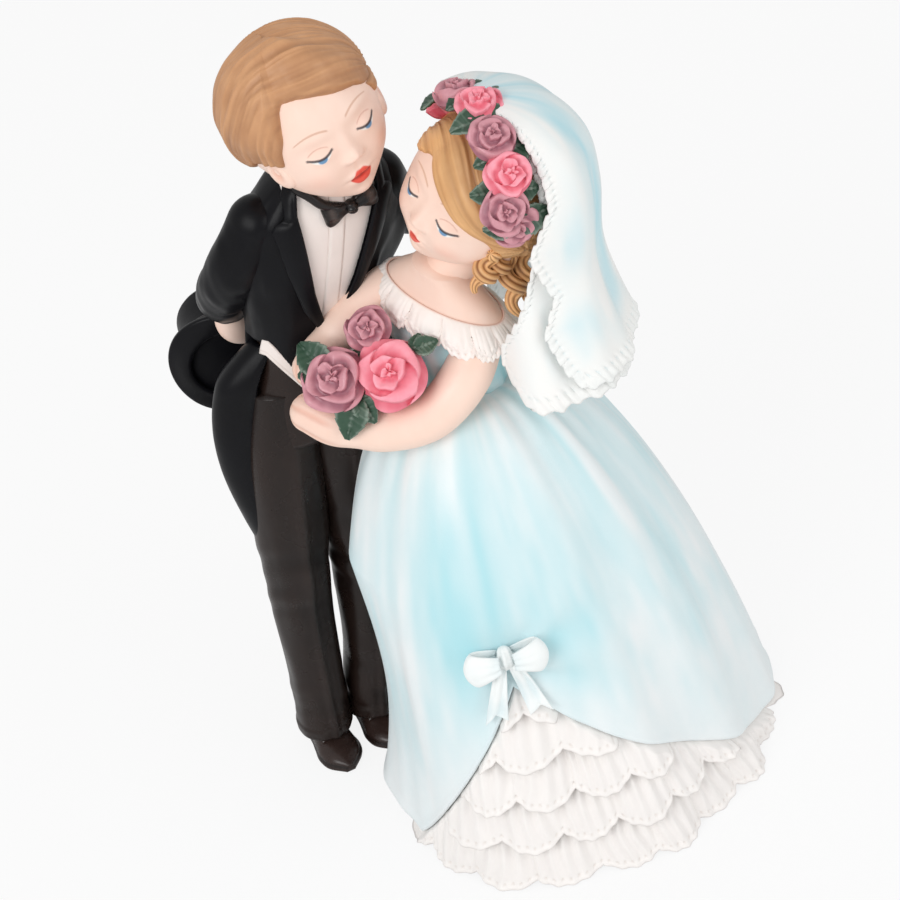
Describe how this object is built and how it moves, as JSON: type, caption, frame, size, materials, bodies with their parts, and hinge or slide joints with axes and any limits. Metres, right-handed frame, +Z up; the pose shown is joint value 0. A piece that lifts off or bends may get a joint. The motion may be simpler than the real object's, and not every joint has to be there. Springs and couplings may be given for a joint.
{
  "type": "wedding cake topper",
  "caption": "Painted bride and groom cake topper: a groom in a tailcoat, hat held behind, bends to a bride in a bell skirt over scalloped flounces, with veil, wreath and rose bouquet.",
  "frame": {"origin": "middle of the bounding box's footprint, at the level the shoes and the petticoat stand on", "axes": "+Z up, the longest extent; -Y toward the side the picture was taken from; +X from the groom toward the bride"},
  "size_m": [0.1012, 0.0822, 0.1525],
  "materials": {
    "skin": "painted bisque, pale peach",
    "groom_hair": "painted chestnut, combed grooves",
    "bride_hair": "painted honey blonde, brown in the grooves",
    "coat": "matte blue-black",
    "trousers": "satin brown-black",
    "shoe": "glossy dark brown",
    "black_satin": "glossy black",
    "linen": "matte off-white",
    "gown": "matte white washed with pale aqua",
    "petticoat": "matte warm white",
    "lace": "matte cream white",
    "veil": "matte white washed with pale blue",
    "pink_rose": "painted pink, paler lips",
    "mauve_rose": "painted dusty mauve, paler lips",
    "leaf": "painted dark green, pale dry-brushed edges"
  },
  "bodies": {
    "root": {"groom_head": "skin", "groom_hair": "groom_hair", "groom_tailcoat": "coat", "groom_shirt_front": "linen", "groom_waistcoat": "linen", "groom_trousers": "trousers", "groom_right_shoe": "shoe", "groom_left_shoe": "shoe", "groom_top_hat": "coat", "groom_hat_band": "black_satin", "groom_right_sleeve": "coat", "groom_right_hand": "skin", "groom_left_sleeve": "coat", "groom_left_hand": "skin", "groom_bow_tie": "black_satin", "petticoat": "petticoat", "petticoat_flounce_1": "petticoat", "petticoat_flounce_2": "petticoat", "petticoat_flounce_3": "petticoat", "petticoat_flounce_4": "petticoat", "petticoat_flounce_5": "petticoat", "overskirt": "gown", "bride_head": "skin", "bride_hair": "bride_hair", "wreath_rose_1": "mauve_rose", "wreath_rose_2": "mauve_rose", "wreath_rose_3": "pink_rose", "wreath_rose_4": "mauve_rose", "wreath_rose_5": "pink_rose", "wreath_rose_6": "mauve_rose", "wreath_rose_7": "pink_rose", "wreath_leaf_1": "leaf", "wreath_leaf_2": "leaf", "wreath_leaf_3": "leaf", "wreath_leaf_4": "leaf", "wreath_leaf_5": "leaf", "wreath_leaf_6": "leaf", "bride_bust": "skin", "bride_bodice": "gown", "bride_right_arm": "skin", "bride_left_arm": "skin", "neckline_ruffle": "lace", "bride_veil": "veil", "bouquet_rose_1": "pink_rose", "bouquet_rose_2": "mauve_rose", "bouquet_rose_3": "mauve_rose", "bouquet_stems": "leaf", "bouquet_leaf_1": "leaf", "bouquet_leaf_2": "leaf", "bouquet_leaf_3": "leaf", "skirt_bow_knot": "lace", "skirt_bow_right_loop": "lace", "skirt_bow_right_tail": "lace", "skirt_bow_left_loop": "lace", "skirt_bow_left_tail": "lace", "bride_ringlet_1": "bride_hair", "bride_ringlet_2": "bride_hair"}
  },
  "joints": []
}
